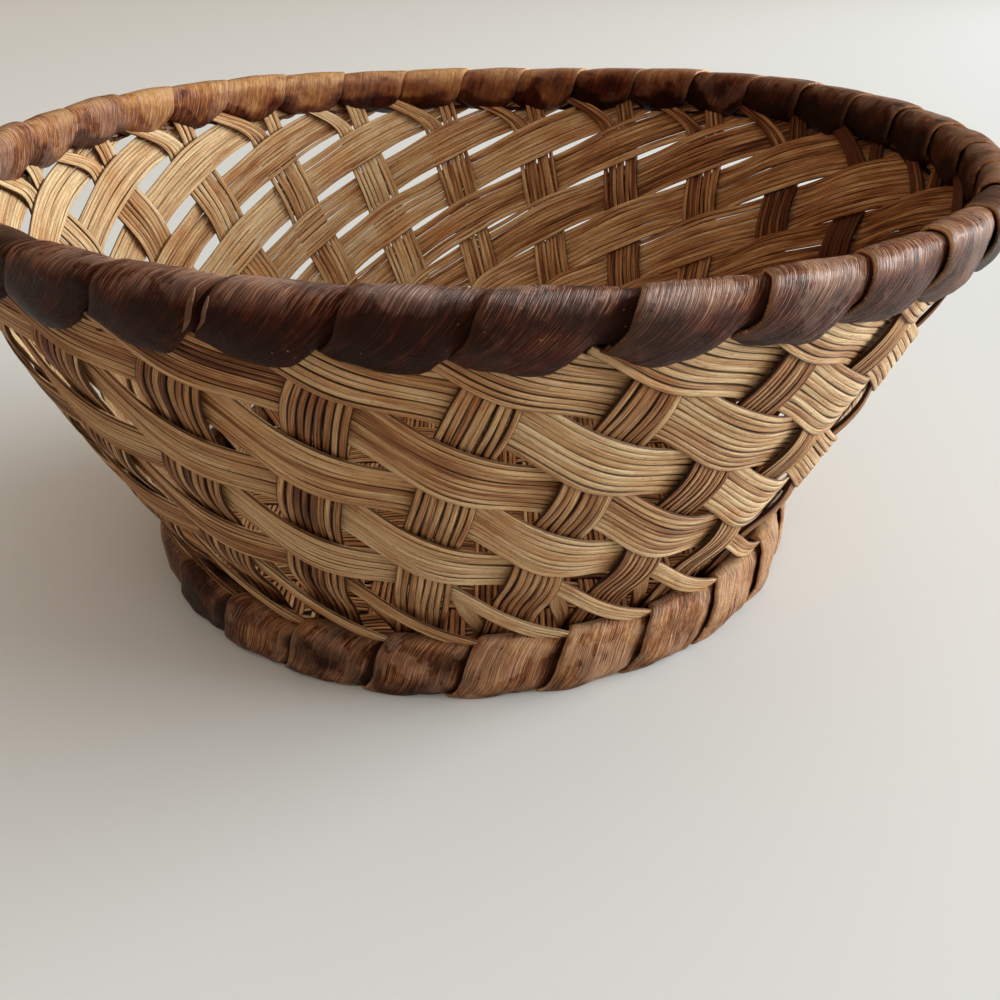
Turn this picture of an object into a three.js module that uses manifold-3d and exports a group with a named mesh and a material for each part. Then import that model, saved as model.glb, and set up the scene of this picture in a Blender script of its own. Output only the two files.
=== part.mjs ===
// A round basket of woven splint bundles, bound with bark at the rim and at the foot.
// Millimetres, +Z up. The origin is the middle of the basket on the table.
// Azimuths are measured from the front, which faces -Y, towards +X.
import * as THREE from 'three';
import { mergeVertices } from 'three/addons/utils/BufferGeometryUtils.js';
import Module from 'manifold-3d';

const wasm = await Module();
wasm.setup();

// Rim roll: a hoop wound with a wide strip of bark
const rimRadius = 145;
const rimHeight = 121;
const rimRollHeight = 16;
const rimRollThickness = 10.4;
const rimTurns = 36;

// Foot roll: the same winding round a smaller hoop
const footRadius = 101;
const footRollHeight = 16.8;
const footRollThickness = 8.6;
const footFlatDepth = 0.5;

// Bark strip of both windings
const barkThickness = 1.2;
const barkEdgeStep = 0.8;
const barkLobeDepth = 1.6;
const barkTurnLean = 0.8;
const rollSquareness = 0.75;

// Hoops inside the windings
const rimHoopHeight = 10;
const rimHoopThickness = 6;
const footHoopHeight = 11;
const footHoopThickness = 4.8;

// Splint bundles of the wall
const bundlePairs = 12;
const bundleThickness = 1.1;
const slantingWidth = 13.4;
const slantingTailWidth = 6.4;
const thinningRows = 1.5;
const uprightWidth = 14.4;
const slantingSweep = degrees(93.5);
const uprightSweep = degrees(13.7);
const firstRowDrop = 2.5;
const uprightStart = degrees(4.9);
const uprightArch = 0.5;
const slantingWander = 1.4;
const wallBulge = 2.4;
const wallBaseLevel = 0.75;

// Hand-made unevenness: the bundles stand a little closer at the front
const crowding = degrees(2.8);
const crowdingTurn = degrees(26.6);
const crowdingTwice = degrees(1.25);

// Floor mat
const floorHeight = 10;
const floorStripsEachWay = 4;
const floorStripGap = 5.5;

// Clearances
const seatGap = 0.3;
const weaveSlack = 0.3;
const wallFootClearance = 1.2;
const tailRise = 2;
const uprightFootDepth = 3.5;
const crossingMargin = 1;
const stripCrossingMargin = 0.4;

// Fineness of the solids: steps along a bundle are shares of a row, and along a winding, of a turn
const levelPasses = 12;
const leastRowStep = 0.02;
const turnStations = [0, 0.5, 0.97];
const hoopSegments = 48;
const hoopCorners = 6;
const floorSides = 72;
const slantingTopStep = 0.3;
const uprightTopStep = 0.1;

// Colours, seen on the object
const splintTan = new THREE.MeshStandardMaterial({ color: 0xa9834f, roughness: 0.62, metalness: 0 });
const splintBrown = new THREE.MeshStandardMaterial({ color: 0x8e6a40, roughness: 0.62, metalness: 0 });
const rimBark = new THREE.MeshStandardMaterial({ color: 0x4a3229, roughness: 0.5, metalness: 0 });
const footBark = new THREE.MeshStandardMaterial({ color: 0x8a5a36, roughness: 0.55, metalness: 0 });
const hoopWood = new THREE.MeshStandardMaterial({ color: 0xb08d5c, roughness: 0.7, metalness: 0 });

// Sizes that follow
const bundles = 2 * bundlePairs;
const footTurns = bundles;
const spacing = 2 * Math.PI / bundles;
const rimHoopTop = rimHeight + rimRollHeight / 2 - barkThickness - seatGap;
const wallTop = rimHoopTop - rimHoopHeight - seatGap;
const wallBase = wallBaseLevel * footRollHeight;
const wallBaseRadius = footRadius - footRollThickness / 2 - wallFootClearance;
const wallDrop = wallTop - wallBase;
const wallSlant = Math.hypot(wallDrop, rimRadius - wallBaseRadius);
const rowStep = spacing / (slantingSweep + uprightSweep);
const firstRow = firstRowDrop / wallDrop;
const slantingStart = uprightStart - (slantingSweep + uprightSweep) * firstRow;
const slantingLift = bundleThickness + seatGap + weaveSlack;
const topRow = -firstRow / rowStep;
const lastOverRow = 2 * Math.floor(rowAt(footRollHeight) / 2);
const baseLean = -wallSlope(1) / Math.hypot(wallSlope(1), wallDrop);
const tailDip = (slantingLift + tailRise + bundleThickness / 2) * baseLean;
const tailRow = rowAt(footRollHeight + barkEdgeStep + seatGap + tailDip);
const uprightEndRow = rowAt(floorHeight - uprightFootDepth);
const floorLift = (bundleThickness + seatGap) / 2;
const floorRadius = floorEdgeRadius();
const floorPitch = 2 * floorRadius / floorStripsEachWay;
const floorStripWidth = floorPitch - floorStripGap;

function degrees(value) {
  return value * Math.PI / 180;
}

function mix(a, b, t) {
  return a + (b - a) * t;
}

function rowAt(height) {
  return ((wallTop - height) / wallDrop - firstRow) / rowStep;
}

// Wall surface: share 0 is its top edge and share 1 its base, and lift is outwards
function wallRadius(share) {
  return mix(rimRadius, wallBaseRadius, share) + 4 * wallBulge * share * (1 - share);
}

function wallSlope(share) {
  return wallBaseRadius - rimRadius + 4 * wallBulge * (1 - 2 * share);
}

function wallPoint(evenAzimuth, share, lift) {
  const slope = wallSlope(share);
  const length = Math.hypot(slope, wallDrop);
  const radius = wallRadius(share) + lift * wallDrop / length;
  const height = wallTop - wallDrop * share + lift * slope / length;
  return ringPoint(handMadeAzimuth(evenAzimuth), radius, height);
}

function ringPoint(azimuth, radius, height) {
  return new THREE.Vector3(radius * Math.sin(azimuth), -radius * Math.cos(azimuth), height);
}

function handMadeAzimuth(azimuth) {
  const once = crowding * (Math.sin(azimuth + crowdingTurn) - Math.sin(crowdingTurn));
  return azimuth - once - crowdingTwice * Math.sin(2 * azimuth);
}

function floorEdgeRadius() {
  const underside = floorHeight - floorLift - bundleThickness / 2;
  const share = (wallTop - underside) / wallDrop;
  return wallRadius(share) - uprightArch - bundleThickness - seatGap;
}

// A closed solid through sections, each a loop of outer points and then inner points backwards
function solidThrough(sections, closed) {
  const size = sections[0].length;
  const positions = sections.flat().flatMap((point) => [point.x, point.y, point.z]);
  const faces = [];
  const spans = closed ? sections.length : sections.length - 1;
  for (let s = 0; s < spans; s += 1) {
    const here = s * size;
    const next = ((s + 1) % sections.length) * size;
    for (let p = 0; p < size; p += 1) {
      const q = (p + 1) % size;
      faces.push(here + p, here + q, next + q, here + p, next + q, next + p);
    }
  }
  if (!closed) {
    const last = (sections.length - 1) * size;
    for (let p = 0; p < size / 2 - 1; p += 1) {
      const opposite = size - 1 - p;
      faces.push(p, opposite, opposite - 1, p, opposite - 1, p + 1);
      faces.push(last + p, last + opposite - 1, last + opposite);
      faces.push(last + p, last + p + 1, last + opposite - 1);
    }
  }
  return facingOut(positions, faces);
}

function facingOut(positions, faces) {
  const corner = (index) => new THREE.Vector3().fromArray(positions, 3 * index);
  let volume = 0;
  for (let f = 0; f < faces.length; f += 3) {
    volume += corner(faces[f]).dot(corner(faces[f + 1]).cross(corner(faces[f + 2])));
  }
  const geometry = new THREE.BufferGeometry();
  geometry.setAttribute('position', new THREE.Float32BufferAttribute(positions, 3));
  geometry.setIndex(volume < 0 ? faces.reverse() : faces);
  return geometry;
}

// Millimetres along one bundle between two neighbours of the other family
function alongUpright(share) {
  const turn = spacing * uprightSweep / (slantingSweep + uprightSweep);
  return Math.hypot(rowStep * wallSlant, wallRadius(share) * turn);
}

function alongSlanting(share) {
  const turn = spacing * slantingSweep / (slantingSweep + uprightSweep);
  return Math.hypot(rowStep * wallSlant, wallRadius(share) * turn);
}

function shareAt(row) {
  return firstRow + row * rowStep;
}

// Slanting bundles lie outside on even rows and inside on odd rows
function slantingHeight(row) {
  if (row > lastOverRow) {
    return slantingLift + tailRise * Math.min(1, (row - lastOverRow) / (tailRow - lastOverRow));
  }
  const nearest = Math.max(0, Math.round(row));
  const side = nearest % 2 === 0 ? 1 : -1;
  const flat = slantingPlateau(row);
  const past = row < 0 ? 0 : Math.max(0, Math.abs(row - nearest) - flat) / (0.5 - flat);
  return side * slantingLift * Math.cos(Math.PI / 2 * past);
}

function slantingPlateau(row) {
  return (uprightWidth / 2 + crossingMargin) / alongSlanting(shareAt(row));
}

function slantingShift(row) {
  const swing = Math.cos(Math.PI * Math.min(row, lastOverRow + 0.5));
  return -slantingWander / alongUpright(shareAt(row)) * swing;
}

function slantingHalfWidth(row) {
  const tail = THREE.MathUtils.smoothstep(row, lastOverRow - thinningRows, tailRow);
  return mix(slantingWidth, slantingTailWidth, tail) / 2 / alongUpright(shareAt(row));
}

// Upright bundles arch the other way, between the places where slanting bundles cross them
function uprightCrossing(row) {
  return row + slantingWander / alongUpright(shareAt(row)) * Math.cos(Math.PI * row);
}

function uprightHeight(row) {
  if (row < uprightCrossing(0) || row > uprightCrossing(lastOverRow)) {
    return -uprightArch;
  }
  let above = 0;
  while (uprightCrossing(above + 1) < row) {
    above += 1;
  }
  const start = uprightCrossing(above);
  const share = (row - start) / (uprightCrossing(above + 1) - start);
  return (above % 2 === 0 ? -1 : 1) * uprightArch * Math.cos(Math.PI * share);
}

// Both kinds of bundle: the width runs along the other family, and the ends are cut level
function bundleSolid(rows, startRow, endRow, rowShift, cornerAt) {
  const sections = [];
  const section = (rowFor) => {
    const points = [];
    for (const [edge, face] of [[-1, 1], [1, 1], [1, -1], [-1, -1]]) {
      points.push(cornerAt(rowFor(edge), edge, face));
    }
    sections.push(points);
  };
  const levelRow = (level, edge) => {
    let row = level;
    for (let pass = 0; pass < levelPasses; pass += 1) {
      row = level - rowShift(row, edge);
    }
    return row;
  };
  for (const share of [0, 1 / 3, 2 / 3]) {
    section((edge) => mix(levelRow(startRow, edge), rows[0], share));
  }
  rows.forEach((row) => section(() => row));
  for (const share of [0.5, 1]) {
    section((edge) => mix(rows[rows.length - 1], levelRow(endRow, edge), share));
  }
  return solidThrough(sections, false);
}

function slantingBundle(index) {
  const offset = (row, edge) => slantingShift(row) + edge * slantingHalfWidth(row);
  const corner = (row, edge, face) => {
    const across = offset(row, edge);
    const share = shareAt(row - across);
    const azimuth = slantingStart + (index + across) * spacing + slantingSweep * share;
    return wallPoint(azimuth, share, slantingHeight(row) + face * bundleThickness / 2);
  };
  const first = topRow + slantingWidth / 2 / alongUpright(0) + slantingTopStep;
  const rows = [first];
  for (let row = 1; row <= lastOverRow; row += 1) {
    const flat = slantingPlateau(row);
    rows.push(row - flat, row + flat, row + 0.5);
  }
  const aboveTail = rows.filter((row) => row - offset(row, -1) < tailRow);
  return bundleSolid(aboveTail, topRow, tailRow, (row, edge) => -offset(row, edge), corner);
}

function uprightBundle(index) {
  const halfWidth = (row) => uprightWidth / 2 / alongSlanting(shareAt(row));
  const corner = (row, edge, face) => {
    const across = edge * halfWidth(row);
    const share = shareAt(row + across);
    const azimuth = uprightStart + (index + across) * spacing - uprightSweep * share;
    return wallPoint(azimuth, share, uprightHeight(row) + face * bundleThickness / 2);
  };
  const rows = [topRow + halfWidth(0) + uprightTopStep];
  for (let row = 1; row <= lastOverRow; row += 1) {
    const crossing = uprightCrossing(row);
    rows.push((uprightCrossing(row - 1) + crossing) / 2, crossing);
  }
  rows.push(mix(rows[rows.length - 1], uprightEndRow, 0.5));
  const offset = (row, edge) => edge * halfWidth(row);
  return bundleSolid(rows.filter(distinct), topRow, uprightEndRow, offset, corner);
}

function distinct(row, place, rows) {
  return place === 0 || row > rows[place - 1] + leastRowStep && row > rows[0] + leastRowStep;
}

// Bark winding: an open roll section whose turns overlap like tiles
function barkWinding(roll) {
  const pitch = 2 * Math.PI / roll.turns;
  const sections = [];
  for (let turn = 0; turn < roll.turns; turn += 1) {
    for (const phase of turnStations) {
      sections.push(barkSection(roll, (turn + phase) * pitch + roll.start, phase, pitch));
    }
  }
  return solidThrough(sections, true);
}

function barkSection(roll, azimuth, phase, pitch) {
  const shape = (angleDegrees, inset) => {
    const angle = degrees(angleDegrees);
    const along = (angleDegrees - roll.outer[0]) / (roll.outer.at(-1) - roll.outer[0]);
    const outward = new THREE.Vector2(Math.cos(angle), Math.sin(angle));
    const raise = inset ? 0 : barkEdgeStep * (1 - phase) * (0.5 + 0.5 * outward.x);
    const lobe = roll.lobe * Math.sin(Math.PI * phase) * (1 - along) ** 4;
    const thickness = roll.thickness / 2 - inset + raise;
    const place = rollOutline(outward, thickness, roll.tall / 2 - inset + raise / 2);
    const height = Math.max(roll.height + place.y - lobe, 0);
    return ringPoint(azimuth + barkTurnLean * pitch * along, roll.radius + place.x, height);
  };
  const outer = roll.outer.map((angle) => shape(angle, 0));
  const inner = roll.inner.map((angle) => shape(angle, barkThickness));
  return [...outer, ...inner.reverse()];
}

function rollOutline(outward, halfThickness, halfHeight) {
  const x = Math.sign(outward.x) * Math.abs(outward.x) ** rollSquareness * halfThickness;
  const y = Math.sign(outward.y) * Math.abs(outward.y) ** rollSquareness * halfHeight;
  return new THREE.Vector2(x, y);
}

// Where the outline of the foot roll meets the table, in degrees below the level
function flatCorner() {
  const halfHeight = (footRollHeight + footFlatDepth) / 2;
  const level = (halfHeight - footFlatDepth) / halfHeight;
  return THREE.MathUtils.radToDeg(Math.asin(level ** (1 / rollSquareness)));
}

function rimWrap() {
  return barkWinding({
    turns: rimTurns, start: 0, radius: rimRadius, height: rimHeight, tall: rimRollHeight,
    thickness: rimRollThickness, lobe: barkLobeDepth,
    outer: [-60, -25, 20, 55, 90, 130, 175, 218], inner: [-60, -5, 45, 90, 135, 185, 218],
  });
}

function footWrap() {
  return barkWinding({
    turns: footTurns, start: slantingStart, radius: footRadius,
    height: (footRollHeight - footFlatDepth) / 2, tall: footRollHeight + footFlatDepth,
    thickness: footRollThickness, lobe: 0,
    outer: [-175, flatCorner() - 180, -flatCorner(), -20, 25, 60, 90, 125, 165],
    inner: [-175, -105, -50, 0, 50, 110, 165],
  });
}

// Hoops: plain rounded rings
function hoop(radius, top, height, thickness) {
  const profile = [];
  for (let c = 0; c <= hoopCorners; c += 1) {
    const angle = 2 * Math.PI * (c + 0.5) / hoopCorners;
    const outward = new THREE.Vector2(Math.cos(angle), Math.sin(angle));
    const place = rollOutline(outward, thickness / 2, height / 2);
    profile.push(new THREE.Vector2(radius + place.x, place.y));
  }
  profile[hoopCorners].copy(profile[0]);
  const geometry = new THREE.LatheGeometry(profile, hoopSegments);
  geometry.rotateX(Math.PI / 2);
  geometry.translate(0, 0, top - height / 2);
  return geometry;
}

// Floor: wide strips woven one over one, and cut round by the wall
function floorStrip(index, turned) {
  const middle = (index - (floorStripsEachWay - 1) / 2) * floorPitch;
  const sections = [];
  const reach = floorPitch * floorStripsEachWay / 2;
  const section = (along, lift) => {
    const points = [];
    for (const [edge, face] of [[-1, 1], [1, 1], [1, -1], [-1, -1]]) {
      const across = middle + edge * floorStripWidth / 2;
      const height = floorHeight + lift + face * bundleThickness / 2;
      points.push(new THREE.Vector3(turned ? across : along, turned ? along : across, height));
    }
    sections.push(points);
  };
  for (let other = 0; other < floorStripsEachWay; other += 1) {
    const crossing = (other - (floorStripsEachWay - 1) / 2) * floorPitch;
    const above = (index + other) % 2 === (turned ? 1 : 0);
    const lift = above ? floorLift : -floorLift;
    const half = floorStripWidth / 2 + stripCrossingMargin;
    section(other === 0 ? -reach : crossing - half, lift);
    section(other === floorStripsEachWay - 1 ? reach : crossing + half, lift);
  }
  const disc = new THREE.CylinderGeometry(floorRadius, floorRadius, 2 * floorPitch, floorSides);
  disc.rotateX(Math.PI / 2);
  return intersection(solidThrough(sections, false), disc);
}

function manifoldFrom(geometry) {
  const bare = geometry.clone();
  bare.deleteAttribute('normal');
  bare.deleteAttribute('uv');
  const merged = mergeVertices(bare, 1e-5);
  return new wasm.Manifold(new wasm.Mesh({
    numProp: 3,
    vertProperties: new Float32Array(merged.attributes.position.array),
    triVerts: new Uint32Array(merged.index.array),
  }));
}

function intersection(first, second) {
  const mesh = manifoldFrom(first).intersect(manifoldFrom(second)).getMesh();
  const geometry = new THREE.BufferGeometry();
  geometry.setAttribute('position', new THREE.Float32BufferAttribute(mesh.vertProperties, 3));
  geometry.setIndex([...mesh.triVerts]);
  return geometry;
}

// The assembly
const basket = new THREE.Group();

function add(name, geometry, material) {
  const mesh = new THREE.Mesh(geometry, material);
  mesh.name = name;
  basket.add(mesh);
}

add('rim_hoop', hoop(rimRadius, rimHoopTop, rimHoopHeight, rimHoopThickness), hoopWood);
add('rim_wrap', rimWrap(), rimBark);
const footHoopTop = (footRollHeight + footHoopHeight) / 2;
add('foot_hoop', hoop(footRadius, footHoopTop, footHoopHeight, footHoopThickness), hoopWood);
add('foot_wrap', footWrap(), footBark);
for (let bundle = 0; bundle < bundles; bundle += 1) {
  const number = String(bundle + 1).padStart(2, '0');
  add(`slanting_bundle_${number}`, slantingBundle(bundle), splintTan);
  add(`upright_bundle_${number}`, uprightBundle(bundle), splintBrown);
}
for (let strip = 0; strip < floorStripsEachWay; strip += 1) {
  add(`floor_strip_across_${strip + 1}`, floorStrip(strip, false), splintTan);
  add(`floor_strip_along_${strip + 1}`, floorStrip(strip, true), splintBrown);
}

export default basket;
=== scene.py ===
# A round basket of woven splint bundles, bound with bark at the rim and at the foot
import math

import bpy
import numpy as np
from mathutils import Matrix, Vector


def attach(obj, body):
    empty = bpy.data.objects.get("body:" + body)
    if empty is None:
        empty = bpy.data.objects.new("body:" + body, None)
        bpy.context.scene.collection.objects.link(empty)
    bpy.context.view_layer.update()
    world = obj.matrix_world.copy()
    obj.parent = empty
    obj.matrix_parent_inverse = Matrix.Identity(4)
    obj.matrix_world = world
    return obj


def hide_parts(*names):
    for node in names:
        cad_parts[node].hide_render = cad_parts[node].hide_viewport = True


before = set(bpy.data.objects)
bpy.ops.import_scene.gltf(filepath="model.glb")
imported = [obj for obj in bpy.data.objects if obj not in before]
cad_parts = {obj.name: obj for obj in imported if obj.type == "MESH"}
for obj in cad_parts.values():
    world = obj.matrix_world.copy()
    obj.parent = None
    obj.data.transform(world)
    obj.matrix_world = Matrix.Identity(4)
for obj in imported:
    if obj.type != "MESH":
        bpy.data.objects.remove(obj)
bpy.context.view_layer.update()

random = np.random.default_rng(24)

# Lengths are millimetres and angles are degrees, until a mesh is made. A span is where a change starts and
# where it is full. Three numbers that rise reads are a full amount and its span. Two numbers that by_chance
# reads are a least value and the most that chance adds.
METRES = 0.001

# Rim and foot
rim_radius = 145.0
rim_middle = 122.4
rim_half_height = 5.6
rim_half_thickness = 4.5
rim_turns = 36
foot_radius = 100.6
foot_middle = 8.9
foot_half_height = 8.8
foot_half_thickness = 3.1
foot_turns = 24
roll_squareness = 0.75

# How the hand-made basket leaves the true circle: it leans, its rim is wavy and its foot is oval. A wave
# has how often it comes round, its height and its phase. The spans are heights.
lean_of_foot = (-1.8, 125, 100)
lean_of_wall = -1.8
lean_of_wall_from = 12
lean_of_wall_height = 108
rim_waves = [(1, 0.36, 102), (2, 0.7, -133), (3, 0.75, -12), (4, 0.55, -167)]
rim_waves_span = (70, 118)
foot_oval = 0.008
foot_oval_span = (60, 15)
foot_longest_at = -45.0

# Wall, as the solids have it
wall_top = 117.2
wall_base = 12.6
wall_base_radius = 95.5
wall_bulge = 2.4
bundles = 24
slanting_sweep = 93.5
upright_sweep = 13.7
first_row_drop = 2.5
upright_start = 4.9
last_over_row = 6
crowding = 2.8
crowding_turn = 26.6
crowding_twice = 1.25

# How far the slanting bundles sag between their crossings, most at the front
slanting_wander = 1.25
wander_change = 0.75
wander_most_at = -30.0
back_wander = 0.2
frontness_span = (0.25, 0.7)

# Splints of the slanting bundles
slanting_width = 15.65
width_change = 2.7
widest_at = 96.0
squeeze = -0.04
slanting_lift = 1.45
slanting_counts = [9, 10, 10, 11]
slanting_thickness = 1.05
slanting_overlap = 1.03
slanting_width_spread = 0.05
slanting_waver = (0.10, 0.12)
slanting_waves = (1.3, 3.1)
slanting_jitter = 0.09
slanting_jitter_wave = 2.1
slanting_tone_spread = 0.08

# Their ends: a few splints go over the last upright bundle, and the rest turn in behind the foot
tail_splints = 4
tail_pitch = 1.4
tail_rise = (1.6, last_over_row - 0.2, last_over_row + 0.6)
thinning_span = (last_over_row - 1.7, last_over_row - 0.2)
tail_end_height = 16.6
# Painted shade low down near the foot, a little on the tails
tail_painted_low_shade = 0.4
dive_end_height = 7.5
dive_turn = 11.0
dive_turn_rows = 1.25
dive_depth = -2.6
dive_span = (last_over_row - 1.2, last_over_row - 0.5)
# Painted shade low down near the foot on the splints that turn in
dive_painted_low_shade = 2.2

# Splints of the upright bundles. Their tones are a middle and its spread.
upright_width = 15.4
upright_width_change = 1.2
upright_widest_at = -50.0
upright_lift = 1.25
upright_counts = [7, 8, 8]
upright_thickness = 1.3
upright_width_spread = 0.07
upright_waver = (0.16, 0.12)
upright_waves = (1.1, 2.9)
upright_jitter = 0.08
upright_jitter_wave = 1.9
upright_tones = (0.21, 0.1)
upright_tone_change = 0.19
upright_darkest_at = 60
# Painted shade low down near the foot on the uprights
upright_painted_low_shade = 1.6

# Their tops fan out under the rim, over a span of shares of the wall
fan_span = (0.14, -0.04)
fan_sweep = (7.5, 4)
fan_power = 1.5
fan_drop = 1.5
straight_sweep = 0.8

# Splints of both kinds
second_wave_share = 0.5
splint_roll_spread = 0.07
splint_start_share = -0.004
splint_sides = 8
step_along = 2.2
fewest_steps = 4
flat_section = 0.62
round_section = 0.8
splint_tones = (0.44, 0.14)
rows_tried = (-2.0, 9.0, 1200)

# Painted shade between splints, drawn as dark lines along their sides: a bigger share is a wider line
inner_painted_shade_line_share = 0.79
slanting_painted_shade_line_share = 0.9
upright_painted_shade_line_share = 1.12

# Painted shade and light on the splints: outside darker at the left and lighter elsewhere, inside darker at
# the right and lighter at the left, on the mat darker towards its edge and its right half, and darker low
# down near the foot
outer_painted_shade = 1.9
outer_painted_shade_least = -0.2
outer_front_painted_light = 0.7
inner_painted_shade = 0.55
inner_painted_shade_slope = 1.4
inner_painted_shade_least = -0.8
mat_painted_shade = 1.9
mat_painted_shade_middle = 0.55
mat_painted_shade_edge = (0.45, 55, 85)
mat_painted_shade_span = (-75, -10)
level_normal = 0.9
painted_low_shade_span = (32, 15)
middle_shade = 0.5
shade_change = 0.5
shade_wave_length = 9.0

# Waver of a hand-made thing: a slow wave and a faster one
slow_wave = 1.3
slow_wave_share = 0.7
fast_wave = 2.7
fast_wave_share = 0.3

# Where the grain of each splint starts in the noise
grain_shift = 60
grain_layers = 9

# Sizes that follow
wall_drop = wall_top - wall_base
wall_slant = math.hypot(wall_drop, rim_radius - wall_base_radius)
spacing = 360.0 / bundles
first_row = first_row_drop / wall_drop
row_step = spacing / (slanting_sweep + upright_sweep)
slanting_start = upright_start - (slanting_sweep + upright_sweep) * first_row


def mix(a, b, t):
    return a + (b - a) * t


def smooth(low, high, value):
    """Goes softly from 0 at low to 1 at high."""
    t = np.clip((value - low) / (high - low), 0.0, 1.0)
    return t * t * (3 - 2 * t)


def rise(value, amount, low, high):
    return amount * smooth(low, high, value)


def bell(value, middle, width):
    return np.exp(-((value - middle) / width) ** 2)


def by_chance(chance):
    least, more = chance
    return least + more * random.random()


# The wall: share 0 is its top edge and share 1 its base, and lift is outwards
def wall_radius(share):
    return mix(rim_radius, wall_base_radius, share) + 4 * wall_bulge * share * (1 - share)


def hand_made_azimuth(azimuth):
    once = crowding * (np.sin(np.radians(azimuth + crowding_turn)) - math.sin(math.radians(crowding_turn)))
    return azimuth - once - crowding_twice * np.sin(np.radians(2 * azimuth))


def ring_vector(azimuth, radius, height):
    angle = np.radians(azimuth)
    return np.stack([radius * np.sin(angle), -radius * np.cos(angle), height + 0 * angle], -1)


def hand_made(points):
    """Moves points of the true round basket to where the hand-made one has them."""
    x, y, z = np.moveaxis(points, -1, 0)
    azimuth = np.degrees(np.arctan2(x, -y))
    wave = sum(size * np.cos(np.radians(times * azimuth - phase)) for times, size, phase in rim_waves)
    up_the_wall = np.clip((z - lean_of_wall_from) / lean_of_wall_height, 0, 1)
    lean = rise(z, *lean_of_foot) + lean_of_wall * np.sin(math.pi * up_the_wall)
    oval = 1 + foot_oval * np.cos(np.radians(2 * (azimuth - foot_longest_at))) * smooth(*foot_oval_span, z)
    return np.stack([oval * x + lean, oval * y, z + wave * smooth(*rim_waves_span, z)], -1)


def ring_point(azimuth, radius, height):
    return hand_made(ring_vector(azimuth, radius, height))


def wall_slope(share):
    """How fast the radius grows down the wall, and the length of that step."""
    slope = wall_base_radius - rim_radius + 4 * wall_bulge * (1 - 2 * share)
    return slope, np.hypot(slope, wall_drop)


def wall_point(azimuth, share, lift):
    slope, length = wall_slope(share)
    radius = wall_radius(share) + lift * wall_drop / length
    height = wall_top - wall_drop * share + lift * slope / length
    return ring_point(hand_made_azimuth(azimuth), radius, height)


def wall_normal(azimuth, share):
    slope, length = wall_slope(share)
    return ring_vector(hand_made_azimuth(azimuth), wall_drop / length, slope / length)


def share_at(row):
    return first_row + row * row_step


def in_rows(length, row, sweep):
    """A length as rows, the steps from one crossing to the next along a bundle of that sweep."""
    turn = math.radians(spacing * sweep / (slanting_sweep + upright_sweep))
    return length / np.hypot(row_step * wall_slant, wall_radius(share_at(row)) * turn)


def wobble(rows, size):
    phases = random.random(2) * 2 * math.pi
    slow = slow_wave_share * np.sin(slow_wave * rows + phases[0])
    fast = fast_wave_share * np.sin(fast_wave * slow_wave * rows + phases[1])
    return size * (slow + fast)


# Meshes
def lengths_along(points):
    steps = np.linalg.norm(np.diff(points, axis=0), axis=1)
    return np.concatenate([[0], np.cumsum(steps)])


def painted_shade(path, normals, angles, painted_low_shade):
    """Painted shade and light at each point of a splint: how much darker or lighter it is drawn for where
    it stands and how low.
    """
    x, y, z = path.T
    leftness = -x / np.hypot(x, y)
    outer = np.maximum(outer_painted_shade * leftness, outer_painted_shade_least) - outer_front_painted_light * (1 - np.abs(leftness))
    inner = np.maximum(inner_painted_shade - inner_painted_shade_slope * leftness, inner_painted_shade_least)
    of_the_wall = np.where(np.sin(angles) > 0, outer[:, None], inner[:, None])
    outwards = mat_painted_shade_middle + rise(np.hypot(x, y), *mat_painted_shade_edge)
    of_the_mat = (mat_painted_shade * outwards * smooth(*mat_painted_shade_span, x))[:, None]
    shading = np.where(normals[:, 2:] < level_normal, of_the_wall, of_the_mat)
    return shading + painted_low_shade * smooth(*painted_low_shade_span, z)[:, None]


class Shape:
    """The points and faces of one piece, with the values that its material reads."""

    labels = ()

    def __init__(self):
        self.points = []
        self.faces = []
        self.grain = []
        self.values = {label: [] for label in self.labels}
        self.count = 0

    def add_points(self, points, grain, **values):
        self.points.append(points.reshape(-1, 3))
        self.grain.append(grain.reshape(-1, 3))
        for label in self.labels:
            self.values[label].append((values[label] + 0 * grain[..., 0]).reshape(-1))
        self.count += grain[..., 0].size


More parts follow.
